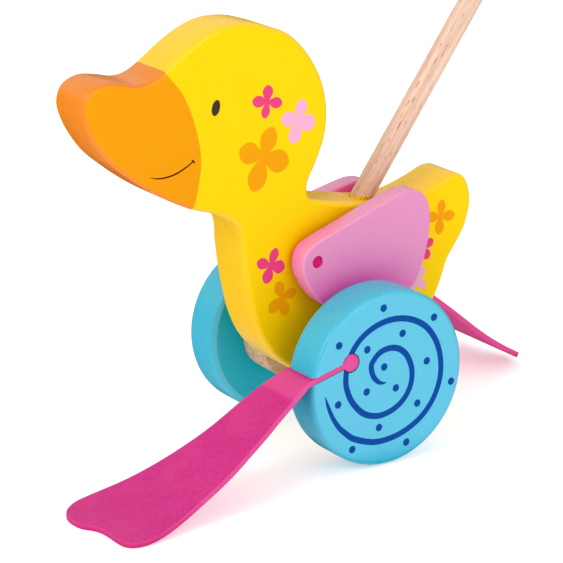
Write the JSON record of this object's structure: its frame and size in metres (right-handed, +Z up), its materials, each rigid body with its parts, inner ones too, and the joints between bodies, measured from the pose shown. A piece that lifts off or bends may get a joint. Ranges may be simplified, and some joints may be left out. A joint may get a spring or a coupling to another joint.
{
  "type": "push-along duck toy",
  "caption": "Wooden duck on a push stick, with two wheels on one axle, cams that lift its wings, and rubber feet that slap the floor.",
  "frame": {"origin": "on the floor, straight under the axle, in the middle of the body plank", "axes": "+X is the duck's left, -Y is forward, where the beak points, +Z is up; the axle runs along X"},
  "size_m": [0.14, 0.4561, 0.5029],
  "materials": {
    "yellow_paint": "satin lacquer over sanded wood",
    "wing_paint": "satin lacquer over sanded wood",
    "blue_paint": "satin lacquer over sanded wood",
    "pink_paint": "satin lacquer over turned wood",
    "beech": "bare sanded beech",
    "cam_wood": "bare sawn beech",
    "pin_plastic": "moulded",
    "foot_rubber": "matt foam rubber"
  },
  "bodies": {
    "duck": {"body": "yellow_paint", "stick": "beech", "knob": "pink_paint", "left_wing_pin": "pin_plastic", "right_wing_pin": "pin_plastic", "left_wing_spacer": "pin_plastic", "right_wing_spacer": "pin_plastic"},
    "axle_set": {"axle": "beech", "left_wheel": "blue_paint", "right_wheel": "blue_paint", "left_cam": "cam_wood", "right_cam": "cam_wood", "left_foot_root": "foot_rubber", "right_foot_root": "foot_rubber"},
    "left_foot": {"left_foot_blade": "foot_rubber"},
    "right_foot": {"right_foot_blade": "foot_rubber"},
    "left_wing": {"left_wing": "wing_paint"},
    "right_wing": {"right_wing": "wing_paint"}
  },
  "joints": [
    {"name": "axle_spin", "type": "hinge", "parent": "duck", "child": "axle_set", "pos_m": [0, 0, 0.04], "axis": [1, 0, 0], "continuous": true},
    {"name": "left_foot_flex", "type": "hinge", "parent": "axle_set", "child": "left_foot", "pos_m": [0.04088, -0.04114, 0.04544], "axis": [1, 0, 0], "range_deg": [-50, 20], "stiffness_Nm_per_rad": 0.05, "springref_deg": -10.26},
    {"name": "right_foot_flex", "type": "hinge", "parent": "axle_set", "child": "right_foot", "pos_m": [-0.04088, 0.03483, 0.06256], "axis": [-1, 0, 0], "range_deg": [-50, 20], "stiffness_Nm_per_rad": 0.05, "springref_deg": -10.03},
    {"name": "left_wing_flap", "type": "hinge", "parent": "duck", "child": "left_wing", "pos_m": [0.02, -0.02, 0.09], "axis": [-1, 0, 0], "range_deg": [-60, 15], "stiffness_Nm_per_rad": 0.02, "springref_deg": -12.55},
    {"name": "right_wing_flap", "type": "hinge", "parent": "duck", "child": "right_wing", "pos_m": [-0.02, -0.02, 0.09], "axis": [-1, 0, 0], "range_deg": [-65, 9.5], "stiffness_Nm_per_rad": 0.02, "springref_deg": -12.43}
  ]
}
